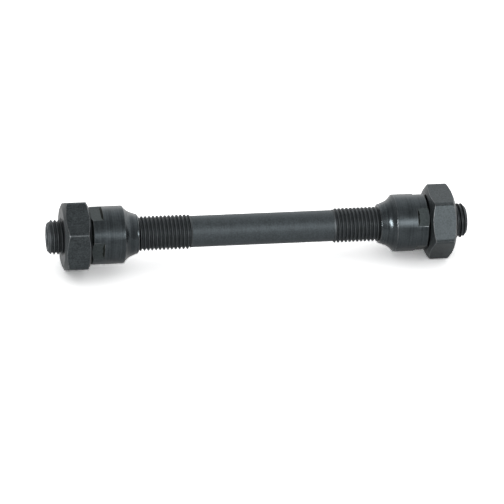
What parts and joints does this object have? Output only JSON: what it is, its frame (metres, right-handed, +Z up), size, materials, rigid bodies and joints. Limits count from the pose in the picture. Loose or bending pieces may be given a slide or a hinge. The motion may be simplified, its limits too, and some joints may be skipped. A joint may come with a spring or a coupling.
{
  "type": "bicycle hub axle",
  "caption": "Hollow threaded front hub axle for a quick-release wheel, with a cone and a chamfered hexagon locknut screwed on at each end.",
  "frame": {"origin": "middle of the axle, on its centre line", "axes": "+X along the axle towards the right-hand end of the picture, +Z up as the part lies on its two locknuts"},
  "size_m": [0.108, 0.0192, 0.0192],
  "materials": {
    "axle_steel": "satin",
    "cone_steel": "satin",
    "locknut_steel": "satin"
  },
  "bodies": {
    "axle": {"axle": "axle_steel"},
    "left_cone": {"left_cone": "cone_steel"},
    "right_cone": {"right_cone": "cone_steel"},
    "left_locknut": {"left_locknut": "locknut_steel"},
    "right_locknut": {"right_locknut": "locknut_steel"}
  },
  "joints": [
    {"name": "left_locknut_screw", "type": "slide", "parent": "axle", "child": "left_locknut", "axis": [-1, 0, 0], "range_m": [0, 0.009]},
    {"name": "right_locknut_screw", "type": "slide", "parent": "axle", "child": "right_locknut", "axis": [1, 0, 0], "range_m": [0, 0.009]},
    {"name": "left_cone_screw", "type": "slide", "parent": "axle", "child": "left_cone", "axis": [1, 0, 0], "range_m": [0, 0.013]},
    {"name": "right_cone_screw", "type": "slide", "parent": "axle", "child": "right_cone", "axis": [-1, 0, 0], "range_m": [0, 0.011]}
  ]
}
